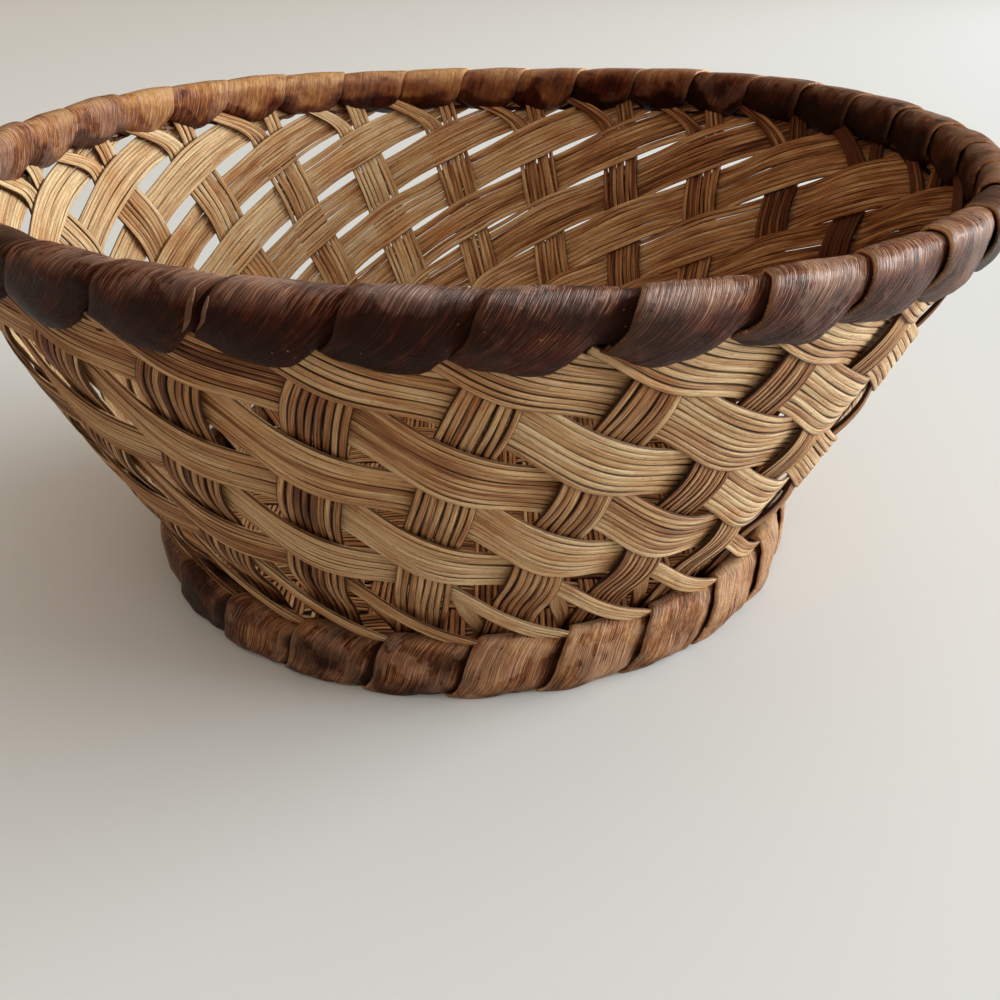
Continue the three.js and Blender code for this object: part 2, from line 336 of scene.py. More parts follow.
class Strands(Shape):
    """Swept splints, each a closed tube with a flattened section."""

    labels = ("tone", "shade")

    def add(self, path, normals, half_width, half_thickness, tone, roll=0, section=round_section, painted_low_shade=0):
        tangents = np.gradient(path, axis=0)
        tangents /= np.linalg.norm(tangents, axis=1, keepdims=True)
        across = np.cross(tangents, normals)
        across /= np.linalg.norm(across, axis=1, keepdims=True)
        outward = np.cross(across, tangents)
        angles = (np.arange(splint_sides) + 0.5) * 2 * math.pi / splint_sides
        flat = half_width * np.sign(np.cos(angles)) * np.abs(np.cos(angles)) ** section
        deep = half_thickness * np.sign(np.sin(angles)) * np.abs(np.sin(angles)) ** section
        wide = flat * math.cos(roll) - deep * math.sin(roll)
        thick = flat * math.sin(roll) + deep * math.cos(roll)
        points = path[:, None] + wide[:, None] * across[:, None] + thick[:, None] * outward[:, None]
        along = lengths_along(path) + grain_shift * random.random()
        # The dark lines on a splint's sides are painted shade between splints
        outer_painted_shade_line_share = upright_painted_shade_line_share if section == round_section else slanting_painted_shade_line_share
        painted_shade_line_share = np.where(np.sin(angles) < 0, inner_painted_shade_line_share, outer_painted_shade_line_share)
        side = (np.cos(angles) * painted_shade_line_share)[None, :]
        grain = np.stack(np.broadcast_arrays(along[:, None], side, grain_layers * random.random()), -1)
        waver = wobble(along / shade_wave_length, shade_change)
        # The shade is a random tone along the splint plus painted shade and light
        shades = middle_shade + waver[:, None] + painted_shade(path, normals, angles, painted_low_shade)
        self.add_faces(len(path))
        self.add_points(points, grain, tone=tone, shade=shades)

    def add_faces(self, rings):
        """The sides between the rings and the two ends."""
        first = self.count
        ring = np.arange(splint_sides)
        nearer = first + np.arange(rings - 1)[:, None] * splint_sides
        quads = np.stack([
            nearer + ring, nearer + (ring + 1) % splint_sides,
            nearer + splint_sides + (ring + 1) % splint_sides, nearer + splint_sides + ring,
        ], -1).reshape(-1, 4)
        self.faces.extend(quads[:, ::-1].tolist())
        self.faces.append((first + ring).tolist())
        self.faces.append((first + (rings - 1) * splint_sides + ring[::-1]).tolist())


class Sheets(Shape):
    """Thick curved sheets, each given by a grid of outer and one of inner points."""

    labels = ("worn", "shade", "fibrous")

    def add(self, outer, inner, grain, **values):
        across, along = outer.shape[:2]
        index = np.arange(across * along).reshape(across, along) + self.count
        back = index + across * along

        def quads(a, b, c, d):
            self.faces.extend(np.stack([a, b, c, d], -1).reshape(-1, 4).tolist())

        quads(index[:-1, :-1], index[1:, :-1], index[1:, 1:], index[:-1, 1:])
        quads(back[:-1, :-1], back[:-1, 1:], back[1:, 1:], back[1:, :-1])
        quads(index[:-1, 0], back[:-1, 0], back[1:, 0], index[1:, 0])
        quads(index[:-1, -1], index[1:, -1], back[1:, -1], back[:-1, -1])
        quads(index[0, :-1], index[0, 1:], back[0, 1:], back[0, :-1])
        quads(index[-1, :-1], back[-1, :-1], back[-1, 1:], index[-1, 1:])
        self.add_points(outer, grain, **values)
        self.add_points(inner, grain, **values)


def piece_from(shape, name, material, slot, *nodes):
    mesh = bpy.data.meshes.new(name)
    points = np.concatenate(shape.points) * METRES
    mesh.from_pydata(points, [], shape.faces)
    mesh.polygons.foreach_set("use_smooth", np.ones(len(mesh.polygons), bool))
    grain = mesh.attributes.new("grain", "FLOAT_VECTOR", "POINT")
    grain.data.foreach_set("vector", np.concatenate(shape.grain).astype(np.float32).ravel())
    for label, values in shape.values.items():
        attribute = mesh.attributes.new(label, "FLOAT", "POINT")
        attribute.data.foreach_set("value", np.concatenate(values).astype(np.float32))
    mesh.materials.append(material)
    piece = bpy.data.objects.new(name, mesh)
    bpy.context.scene.collection.objects.link(piece)
    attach(piece, "root")
    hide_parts(*nodes)


# Splints of the wall
def evenly(path_rows, points):
    """Rows at even steps along the curve that the points follow."""
    along = lengths_along(points)
    count = max(fewest_steps, int(along[-1] / step_along))
    return np.interp(np.linspace(0, along[-1], count), along, path_rows)


def slanting_height(row):
    return slanting_lift * np.where(row < 0, 1.0, np.cos(math.pi * np.minimum(row, last_over_row)))


def slanting_shift(row, azimuth):
    front = smooth(*frontness_span, 0.5 + 0.5 * math.cos(math.radians(azimuth)))
    wander = slanting_wander + wander_change * math.cos(math.radians(azimuth - wander_most_at))
    wander = mix(back_wander, wander, front)
    return -wander * np.cos(math.pi * np.minimum(row, last_over_row + 0.5))


over_rows = np.arange(last_over_row + 1)
crossings = over_rows + in_rows((-1.0) ** over_rows * slanting_wander, over_rows, upright_sweep)


def upright_height(row):
    return -upright_lift * np.cos(math.pi * np.interp(row, crossings, over_rows))


def two_waves(row, waves, phases):
    return np.sin(waves[0] * row + phases[0]) + second_wave_share * np.sin(waves[1] * row + phases[1])


def add_wall_splint(strands, place, share_of, end_height, width, thickness, tone, section, painted_low_shade):
    rows = np.linspace(*rows_tried)
    shares = share_of(rows)
    rows = rows[(shares >= splint_start_share) & (shares <= (wall_top - end_height) / wall_drop)]
    rows = evenly(rows, place(rows)[0])
    path, normals = place(rows)
    roll = random.normal(0, splint_roll_spread)
    strands.add(path, normals, width / 2, thickness / 2, np.clip(tone, 0, 1), roll, section, painted_low_shade)


def bundle_piece(strands, way, index, slot):
    number = f"{index + 1:02d}"
    piece_from(strands, f"{way}_splints_{number}", splint_material, slot, f"{way}_bundle_{number}")


def add_slanting_splint(strands, index, k, splints, facing, pitch, bundle_tone):
    middle = k - (splints - 1) / 2
    wave = random.random(4) * 2 * math.pi
    waver = by_chance(slanting_waver)
    jitter = random.normal(0, slanting_jitter)
    tail = k < tail_splints

    def sideways(row):
        wandering = waver * two_waves(row, slanting_waves, wave)
        wide = middle * pitch * (1 - squeeze * np.cos(2 * math.pi * row))
        narrow = (k - (tail_splints - 1) / 2) * tail_pitch
        near = smooth(*thinning_span, row) if tail else 0
        return slanting_shift(row, facing) + mix(wide, narrow, near) + wandering * (1 - near)

    def share_of(row):
        return share_at(row - in_rows(sideways(row), row, upright_sweep))

    def place(row):
        across = in_rows(sideways(row), row, upright_sweep)
        share = share_of(row)
        azimuth = slanting_start + (index + across) * spacing + slanting_sweep * share
        height = slanting_height(row) + jitter * np.cos(slanting_jitter_wave * row + wave[2])
        if tail:
            height = height + rise(row, *tail_rise)
        else:
            turning = np.maximum(row - (last_over_row - dive_turn_rows), 0)
            azimuth = azimuth - dive_turn * np.where(turning < 1, turning ** 2 / 2, turning - 0.5)
            height = mix(height, dive_depth, smooth(*dive_span, row))
        return wall_point(azimuth, share, height + 0 * row), wall_normal(azimuth, share)

    width = slanting_overlap * pitch * (1 + random.normal(0, slanting_width_spread))
    add_wall_splint(strands, place, share_of, tail_end_height if tail else dive_end_height, width,
                    slanting_thickness, random.normal(*splint_tones) + bundle_tone, flat_section,
                    tail_painted_low_shade if tail else dive_painted_low_shade)


def slanting_bundle(index):
    strands = Strands()
    bundle_tone = random.normal(0, slanting_tone_spread)
    splints = random.choice(slanting_counts)
    facing = slanting_start + index * spacing + slanting_sweep / 2
    width = slanting_width + width_change * math.cos(math.radians(facing - widest_at))
    for k in range(splints):
        add_slanting_splint(strands, index, k, splints, facing, width / splints, bundle_tone)
    bundle_piece(strands, "slanting", index, "splint_tan")


def add_upright_splint(strands, index, k, splints, fan_by, pitch, bundle_tone):
    middle = k - (splints - 1) / 2
    wave = random.random(4) * 2 * math.pi
    waver = by_chance(upright_waver)
    jitter = random.normal(0, upright_jitter)
    fanning = k >= splints // 2

    def sideways(row):
        return middle * pitch + waver * two_waves(row, upright_waves, wave)

    def share_of(row):
        return share_at(row + in_rows(sideways(row), row, slanting_sweep))

    def place(row):
        across = in_rows(sideways(row), row, slanting_sweep)
        share = share_of(row)
        azimuth = upright_start + (index + across) * spacing - upright_sweep * share
        height = upright_height(row) + jitter * np.cos(upright_jitter_wave * row + wave[2])
        turn = smooth(*fan_span, share)
        if fanning:
            azimuth = azimuth + fan_by * turn ** fan_power
            height = height - fan_drop * turn
        else:
            azimuth = azimuth + straight_sweep * turn
        return wall_point(azimuth, share, height), wall_normal(azimuth, share)

    width = pitch * (1 + random.normal(0, upright_width_spread))
    add_wall_splint(strands, place, share_of, dive_end_height, width, upright_thickness,
                    random.normal(*splint_tones) + bundle_tone, round_section, upright_painted_low_shade)


def upright_bundle(index):
    strands = Strands()
    facing = upright_start + index * spacing
    darker = upright_tone_change * math.cos(math.radians(facing - upright_darkest_at))
    bundle_tone = random.normal(*upright_tones) + darker
    fan_by = by_chance(fan_sweep)
    splints = random.choice(upright_counts)
    width = upright_width + upright_width_change * math.cos(math.radians(facing - upright_widest_at))
    for k in range(splints):
        add_upright_splint(strands, index, k, splints, fan_by, width / splints, bundle_tone)
    bundle_piece(strands, "upright", index, "splint_brown")


# Floor mat
floor_height = 10.0
floor_bundles = 12
floor_radius = 92.6
floor_splints = 8
floor_splint_width = 1.68
floor_splint_thickness = 1.3
floor_splint_gap = 1.02
floor_splint_jitter = 0.12
floor_edge_gap = 0.5
floor_lift = 0.7
floor_step = 2.6
floor_fewest_steps = 6
floor_waver = 0.2
floor_tone = 0.08
bundles_in_strip = 3
strips_each_way = 4


def add_floor_bundle(strands, index, turned):
    pitch = 2 * floor_radius / floor_bundles
    middle = (index - (floor_bundles - 1) / 2) * pitch
    side = (-1) ** index * (-1 if turned else 1)
    for k in range(floor_splints):
        from_middle = (k - (floor_splints - 1) / 2) * floor_splint_width * floor_splint_gap
        across = middle + from_middle + random.normal(0, floor_splint_jitter)
        reach = math.sqrt(max(floor_radius ** 2 - across ** 2, 0)) - floor_edge_gap
        if reach < pitch / 4:
            continue
        along = np.linspace(-reach, reach, max(floor_fewest_steps, int(2 * reach / floor_step)))
        phase = along / pitch + floor_bundles / 2 - 0.5
        height = floor_height + side * floor_lift * np.cos(math.pi * phase)
        sideways = across + wobble(along / pitch, floor_waver)
        flat = [sideways, along] if turned else [along, sideways]
        path = hand_made(np.stack([*flat, height], -1))
        upward = np.broadcast_to([0.0, 0.0, 1.0], path.shape)
        tone = random.normal(*splint_tones) + floor_tone
        strands.add(path, upward, floor_splint_width / 2, floor_splint_thickness / 2, tone)


def floor_strip(index, turned):
    """Woven bundles in the space of one wide strip of the solids."""
    way = "along" if turned else "across"
    slot = "splint_brown" if turned else "splint_tan"
    strands = Strands()
    for k in range(bundles_in_strip):
        add_floor_bundle(strands, bundles_in_strip * index + k, turned)
    piece_from(strands, f"floor_splints_{way}_{index + 1}", splint_material, slot,
               f"floor_strip_{way}_{index + 1}")


# Bark windings: turns of one wide strip, each with its edge on top of the turn before. The grid of a turn
# holds its first and last degrees round the roll, and its steps across the strip and round the roll.
bark_thickness = 0.75
bark_reach = 1.32
grain_shift_of_turn = 3.7
outside_span = (-0.35, 0.35)

# Dents of dried bark: waves across the strip and their slant, waves round the roll, and their share
dents = [((5, 2), 3, 1), ((11, -3), 2, 0.6), ((19, 5), 7, 0.35)]


def roll_outline(theta, half_thickness, half_height):
    x = np.sign(np.cos(theta)) * np.abs(np.cos(theta)) ** roll_squareness * half_thickness
    z = np.sign(np.sin(theta)) * np.abs(np.sin(theta)) ** roll_squareness * half_height
    return x, z


def round_the_roll(theta, half_thickness, half_height):
    """Millimetres round the roll's outline, from its first angle."""
    x, z = roll_outline(theta[0], half_thickness, half_height)
    steps = np.hypot(np.diff(x), np.diff(z))
    return np.concatenate([[0], np.cumsum(steps)])[None, :] + 0 * theta


def hump(value, peak, end):
    """Rises from 0 to 1 at the peak, and falls to 0 at the end."""
    rising = np.sin(math.pi / 2 * np.clip(value / peak, 0, 1))
    falling = np.cos(math.pi / 2 * np.clip((value - peak) / (end - peak), 0, 1))
    return np.where(value < peak, rising, falling)


def bark_grid(first_degrees, last_degrees, across, along):
    """Shares across the strip from its free edge, and angles round the roll: outside 0, top 90."""
    u = np.linspace(0, bark_reach, across)[:, None] + np.zeros((1, along))
    theta = np.radians(np.linspace(first_degrees, last_degrees, along))[None, :] + np.zeros((across, 1))
    return u, theta


def facing_shares(theta):
    """How much of the outside, of the underside and of the top of the roll each point has."""
    outside = smooth(*outside_span, np.cos(theta))
    below = np.clip(-np.sin(theta), 0, 1)
    above = np.clip(np.sin(theta), 0, 1)
    return outside, below, above


def crumple(u, theta, size):
    """Soft dents of dried bark."""
    phases = random.random((len(dents), 2)) * 2 * math.pi
    height = 0
    for ((across, slant), around, share), (first, second) in zip(dents, phases):
        ripple = np.sin(across * u + slant * theta + first) * np.sin(around * theta + second)
        height = height + share * ripple
    return size * height


def add_turn(sheets, surface, grain, worn, shade, fibrous):
    """Adds the sheet with its outer face outwards."""
    sheets.add(surface(0.0)[::-1], surface(bark_thickness)[::-1], grain[::-1],
               worn=worn[::-1], shade=shade[::-1], fibrous=fibrous[::-1])


# Rim binding: the grid of a turn, the shift of its start in degrees, and its lean as a share of a turn
rim_grid = (-105, 262, 25, 46)
rim_seam_shift = 0.3
rim_seam_change = 1.2
rim_early_seam = 1.1
rim_early_seam_at = 174
rim_early_seam_width = 9
rim_seam_jitter = 0.15
rim_lean = 0.5
rim_lobe_lean = 0.07
underside_power = 0.8

# Height of a turn over the roll: its free edge and bead, its belly, and its end under the next turn
rim_edge_height = 0.75
rim_edge_slope = (0.0, 0.9)
rim_belly_height = 0.7
rim_bead_height = 0.18
rim_bead_at = 0.03
rim_bead_width = 0.035
rim_end = (0.8, 0.86, 1.12)
rim_lobe_end = (1.0, 0.78, 0.98)
rim_crumple = 0.16
rim_top_jitter = 0.25
rim_tall_share = 0.6

# How far a turn hangs below the roll outside and inside, and where. At the far left it hangs less.
flatter_lobes = (0.75, 0.68, 0.86)
outer_lobe_depth = (4.0, 1.2)
outer_lobe_peak = (0.62, 0.16)
outer_lobe_end = 0.96
inner_lobe_depth = (1.6, 3.0)
inner_lobe_peak = (0.2, 0.15)
inner_lobe_end = 0.95
lobe_crumple = 0.5

# Shade of the rim's bark: painted light at the right outside, at the back inside, most at the back left,
# and on top; painted shade where a turn goes under the next; dark stains on the lower inside, made darker
# at the right as painted shade
rim_shade = 0.02
rim_right_span = (-0.05, 0.5)
rim_right_painted_light = 0.09
rim_right_top_painted_light = 0.05
rim_back_painted_light = 0.50
rim_back_painted_light_change = 0.36
rim_back_top_painted_light_share = 0.6
rim_shade_spread = 0.055
rim_top_painted_light = 0.24
rim_back_extra_top_painted_light = 0.1
rim_end_painted_shade = (0.4, 0.93, 1.0)
stain_edge = 0.3
stain_wave = 6
stain_crumple = 0.18
stain_span = (0.3, 0.5)
stain_shade = 0.45
stain_painted_shade_change = 0.15
stain_chance = (0.4, 0.6)

# Fibres show less at the back. The free edge is worn, and drawn paler at the right, at the back and on top
# as painted light. A pale ridge near the top is a painted highlight.
smooth_bark_share = 0.85
smooth_bark_power = 2.5
smooth_bark_outside = 0.6
worn_left_in_painted_shade = 0.12
worn_back_painted_light = 0.6
worn_chance = (0.4, 0.6)
worn_edge_width = 0.04
worn_below_in_painted_shade = 0.3
ridge_highlight = 0.5
ridge_highlight_at = 1.75
ridge_highlight_width = 0.22
ridge_highlight_span = (0.1, 0.5)

# Fibres of the rim's bark bend over the roll
fibre_lean = 0.5
fibre_bend = 0.3
fibre_curve = 0.022
fibre_roll_thicker = 0.8
fibre_roll_taller = 0.5


def rim_height(u, theta, outside, below, above):
    belly = rim_belly_height * np.sin(math.pi * np.clip(u, 0, 1))
    height = rim_edge_height * (1 - smooth(*rim_edge_slope, u)) + belly
    height = height + rim_bead_height * bell(u, rim_bead_at, rim_bead_width)
    height = height - rise(u, *rim_end) - rise(u, *rim_lobe_end) * below ** 2 * outside
    return height + crumple(u, theta, rim_crumple) + rim_top_jitter * random.normal() * above


def rim_drop(u, theta, outside, below, way):
    flatter = 1 - rise(-math.sin(way), *flatter_lobes)
    outer_lobe = flatter * by_chance(outer_lobe_depth) * hump(u, by_chance(outer_lobe_peak), outer_lobe_end)
    inner_lobe = by_chance(inner_lobe_depth) * hump(u, by_chance(inner_lobe_peak), inner_lobe_end)
    drop = mix(inner_lobe, outer_lobe, outside) * below
    return drop + crumple(u, theta, lobe_crumple) * below


def rim_shades(u, theta, outside, below, above, way, back, right):
    inside = 1 - outside
    # Painted light at the right outside, at the back inside and on top; painted shade where the turn goes
    # under the next
    shade = rim_shade + rim_right_painted_light * right * outside + rim_right_top_painted_light * right * outside * above
    back_painted_light = (rim_back_painted_light - rim_back_painted_light_change * math.sin(way)) * back
    shade = shade + back_painted_light * mix(inside, 1, rim_back_top_painted_light_share * above)
    end_painted_shade = rise(u, *rim_end_painted_shade) * (0.5 + 0.5 * below)
    top_painted_light = (rim_top_painted_light + rim_back_extra_top_painted_light * back) * above
    shade = shade + rim_shade_spread * random.normal() + top_painted_light - end_painted_shade
    # Dark stains on the lower inside, made darker at the right as painted shade
    wave = stain_wave * u + stain_wave * random.random()
    edge = stain_edge * np.sin(wave) + crumple(u, theta, stain_crumple)
    stain = inside * smooth(*stain_span, below + edge)
    return shade - (stain_shade + stain_painted_shade_change * math.sin(way)) * stain * by_chance(stain_chance)


def rim_wear_and_highlight(u, theta, above, back, right):
    # Worn free edge, paler at the right, at the back and on top as painted light, and a painted highlight
    # along a ridge near the top
    pale = mix(worn_left_in_painted_shade, 1, max(right, worn_back_painted_light * back)) * by_chance(worn_chance)
    worn = pale * bell(u, 0, worn_edge_width) * mix(worn_below_in_painted_shade, 1, above)
    ridge = ridge_highlight * pale * bell(theta, ridge_highlight_at, ridge_highlight_width) * smooth(*ridge_highlight_span, u)
    return worn + ridge * random.random()


def rim_grain(u, theta, drop, share, pitch, turn):
    half_thickness = rim_half_thickness + fibre_roll_thicker
    arc = round_the_roll(theta, half_thickness, rim_half_height + fibre_roll_taller)
    down = np.interp(90.0, np.degrees(theta[0]), arc[0]) - arc + drop * np.sign(np.cos(theta))
    fibre = math.radians(pitch) * rim_radius * (u + fibre_lean * share)
    fibre = fibre + fibre_bend * down + fibre_curve * np.maximum(down, 0) ** 2
    return np.stack([fibre, down, turn * grain_shift_of_turn + 0 * u], -1)


def rim_turn(sheets, turn):
    pitch = 360.0 / rim_turns
    u, theta = bark_grid(*rim_grid)
    middle = pitch * (turn + 0.5)
    way = math.radians(middle)
    from_early_seam = (middle + rim_early_seam_at) % 360 - 180
    early = rim_early_seam * math.exp(-(from_early_seam / rim_early_seam_width) ** 2)
    seam_shift = rim_seam_shift + rim_seam_change * math.sin(way) - early
    start = pitch * turn + seam_shift + random.normal(0, rim_seam_jitter)
    outside, below, above = facing_shares(theta)
    below = below ** underside_power
    height = rim_height(u, theta, outside, below, above)
    drop = rim_drop(u, theta, outside, below, way)
    share = (theta - theta.min()) / (theta.max() - theta.min())

    def surface(inset):
        half_thickness = rim_half_thickness + height - inset
        half_height = rim_half_height + rim_tall_share * height - inset
        x, z = roll_outline(theta, half_thickness, half_height)
        lean = rim_lean * share - rim_lobe_lean * below ** 2 * outside
        return ring_point(start + pitch * (u + lean), rim_radius + x, rim_middle + z - drop)

    back = 0.5 - 0.5 * math.cos(way)
    right = smooth(*rim_right_span, math.sin(way))
    shade = rim_shades(u, theta, outside, below, above, way, back, right)
    fibrous = 1 - smooth_bark_share * back ** smooth_bark_power * mix(1, smooth_bark_outside, outside)
    worn = rim_wear_and_highlight(u, theta, above, back, right)
    add_turn(sheets, surface, rim_grain(u, theta, drop, share, pitch, turn), worn, shade, fibrous)


# Two pale slivers between turns of the rim: azimuth, width, and first and last degrees round the roll
rim_slivers = [(-20.4, 0.45, -34, 44), (-19.2, 0.3, -26, 30)]
sliver_steps = (5, 24)
sliver_thickness = 0.5
sliver_thicker = 1.3
sliver_taller = 0.9
sliver_end = 0.08
sliver_sweep = 2.2
sliver_bend = 0.9


def rim_sliver(sheets, azimuth, width, first_degrees, last_degrees):
    """A narrow pale strip that shows where two turns stand apart."""
    u, theta = bark_grid(first_degrees, last_degrees, *sliver_steps)
    along = (theta - theta[0, 0]) / (theta[0, -1] - theta[0, 0])
    narrow = (u / bark_reach - 0.5) * width * np.sin(math.pi * (sliver_end + (1 - 2 * sliver_end) * along))

    def surface(inset):
        half_thickness = rim_half_thickness + sliver_thicker - inset
        half_height = rim_half_height + sliver_taller - inset
        x, z = roll_outline(theta, half_thickness, half_height)
        bent = azimuth + narrow + sliver_sweep * along - sliver_bend * along ** 2
        return ring_point(bent, rim_radius + x, rim_middle + z)

    grain = np.stack([5 * u, 20 * along, 0 * u + 5], -1)
    sheets.add(surface(0.0)[::-1], surface(sliver_thickness)[::-1], grain[::-1],
               worn=0.2, shade=0.4, fibrous=1.0)


def rim_binding():
    sheets = Sheets()
    for turn in range(rim_turns):
        rim_turn(sheets, turn)
    for sliver in rim_slivers:
        rim_sliver(sheets, *sliver)
    piece_from(sheets, "rim_bark_binding", rim_bark_material, "rim_bark", "rim_wrap")


# Foot binding: the grid of a turn, where it starts and how it leans
foot_grid = (-170, 178, 25, 44)
foot_turn_jitter = 0.25
foot_start_share = 0.04
foot_lean = 0.72
foot_lean_from_degrees = 68
foot_under_lean = 0.05
foot_least_level = 0.3
foot_tall_share = 0.5

# Height of a turn over the roll, and the crease across it
foot_edge_height = 1.0
foot_edge_slope = (0.0, 0.85)
foot_belly_height = 1.0
foot_belly_peak = 0.4
foot_end = (0.8, 0.8, 1.15)
foot_lip_height = 0.9
foot_lip_width = 0.16
foot_crumple = 0.38
crease_chance = (0.72, 0.1)
crease_width = 0.05
crease_furrow = 0.8
crease_furrow_at = 0.09
crease_height = 0.55
foot_dip = (0.4, 1.0)
foot_dip_span = (0.35, 0.95)

# Shade and wear of the foot's bark: painted light growing towards the right, kept up at the far left, and
# on top; painted shade where a turn goes under the next
foot_shade = 0.25
foot_right_painted_light = 0.40
foot_painted_light_least = -0.3
foot_far_left_painted_light = (0.14, 0.6, 1.0)
foot_shade_spread = 0.09
foot_top_painted_light = 0.18
foot_end_painted_shade = (0.5, 0.88, 1.0)
foot_shade_crumple = 0.12
foot_worn = (0.2, 0.5)
foot_worn_width = 0.035
crease_worn = 0.35
foot_fibre_bend = (0.12, 0.2, 0.9)
foot_grain_length = 42


def foot_shades(u, theta, above, turn):
    way = math.radians(spacing * (turn + 0.5) + slanting_start + slanting_sweep)
    # Painted light at the right, at the far left and on top, and painted shade where the turn goes under
    # the next
    shade = foot_shade + foot_right_painted_light * max(math.sin(way), foot_painted_light_least)
    shade = shade + rise(-math.sin(way), *foot_far_left_painted_light)
    shade = shade + foot_shade_spread * random.normal() + foot_top_painted_light * above - rise(u, *foot_end_painted_shade)
    return shade + crumple(u, theta, foot_shade_crumple)


def foot_turn(sheets, turn):
    u, theta = bark_grid(*foot_grid)
    outside, below, above = facing_shares(theta)
    belly = foot_belly_height * hump(u, foot_belly_peak, 1.0)
    height = foot_edge_height * (1 - smooth(*foot_edge_slope, u)) + belly - rise(u, *foot_end)
    height = height + foot_lip_height * bell(u, 0, foot_lip_width) * above * outside
    crease_at = by_chance(crease_chance)
    furrow = crease_furrow * np.exp(-((u - crease_at + crease_furrow_at) / crease_width) ** 2)
    crease = bell(u, crease_at, crease_width) - furrow
    height = height + crease_height * random.random() * crease * outside + crumple(u, theta, foot_crumple)
    dip = by_chance(foot_dip) * smooth(*foot_dip_span, u) * above ** 2
    tail_share = (wall_top - tail_end_height) / wall_drop
    tail_azimuth = slanting_start + turn * spacing + slanting_sweep * tail_share
    first, last = theta.min(), theta.max()
    share = (theta - first) / (last - first)
    shift = random.normal(0, foot_turn_jitter)
    lean_at_top = foot_lean * (math.radians(foot_lean_from_degrees) - first) / (last - first)

    def surface(inset):
        half_thickness = foot_half_thickness + height - inset
        half_height = foot_half_height + foot_tall_share * height - inset
        x, z = roll_outline(theta, half_thickness, half_height)
        level = np.maximum(foot_middle + z - dip, foot_least_level * (inset > 0))
        lean = foot_lean * share - lean_at_top - foot_under_lean * below ** 2
        azimuth = tail_azimuth + shift + spacing * (u + lean - foot_start_share)
        return ring_point(hand_made_azimuth(azimuth), foot_radius + x, level)

    shade = foot_shades(u, theta, above, turn)
    worn = by_chance(foot_worn) * bell(u, 0, foot_worn_width)
    worn = worn + crease_worn * random.random() * np.clip(crease, 0, 1) * outside
    fibre = u - rise(share, *foot_fibre_bend)
    grain = np.stack([fibre * math.radians(spacing) * foot_radius, share * foot_grain_length,
                      turn * grain_shift_of_turn + 0 * u], -1)
    add_turn(sheets, surface, grain, worn, shade, np.ones_like(u))


def foot_binding():
    sheets = Sheets()
    for turn in range(foot_turns):
        foot_turn(sheets, turn)
    piece_from(sheets, "foot_bark_binding", foot_bark_material, "foot_bark", "foot_wrap")


# Hoops: split wood inside the bindings, on each side that much thinner and lower than the roll
hoop_corners = 12
hoop_segments = 144
hoop_grain_step = 2.5
rim_hoop_thinner = 1.6
rim_hoop_lower = 1.5
foot_hoop_thinner = 1.3
foot_hoop_lower = 3.0


def hoop(way, radius, middle, half_thickness, half_height):
    azimuths = np.linspace(0, 360, hoop_segments + 1)[:-1]
    theta = np.radians(np.arange(hoop_corners) * (360 / hoop_corners))
    x, z = roll_outline(theta, half_thickness, half_height)
    points = ring_point(azimuths[:, None], radius + x[None, :], middle + z[None, :])
    index = np.arange(points[..., 0].size).reshape(points.shape[:2])
    after = np.roll(index, -1, axis=0)
    quads = np.stack([index, after, np.roll(after, -1, axis=1), np.roll(index, -1, axis=1)], -1)
    grain = np.stack(np.broadcast_arrays(x[None, :], hoop_grain_step * azimuths[:, None], z[None, :]), -1)
    ring = Shape()
    ring.faces.extend(quads.reshape(-1, 4).tolist())
    ring.add_points(points, grain)
    piece_from(ring, f"{way}_hoop_wood", hoop_material, "hoop_wood", f"{way}_hoop")


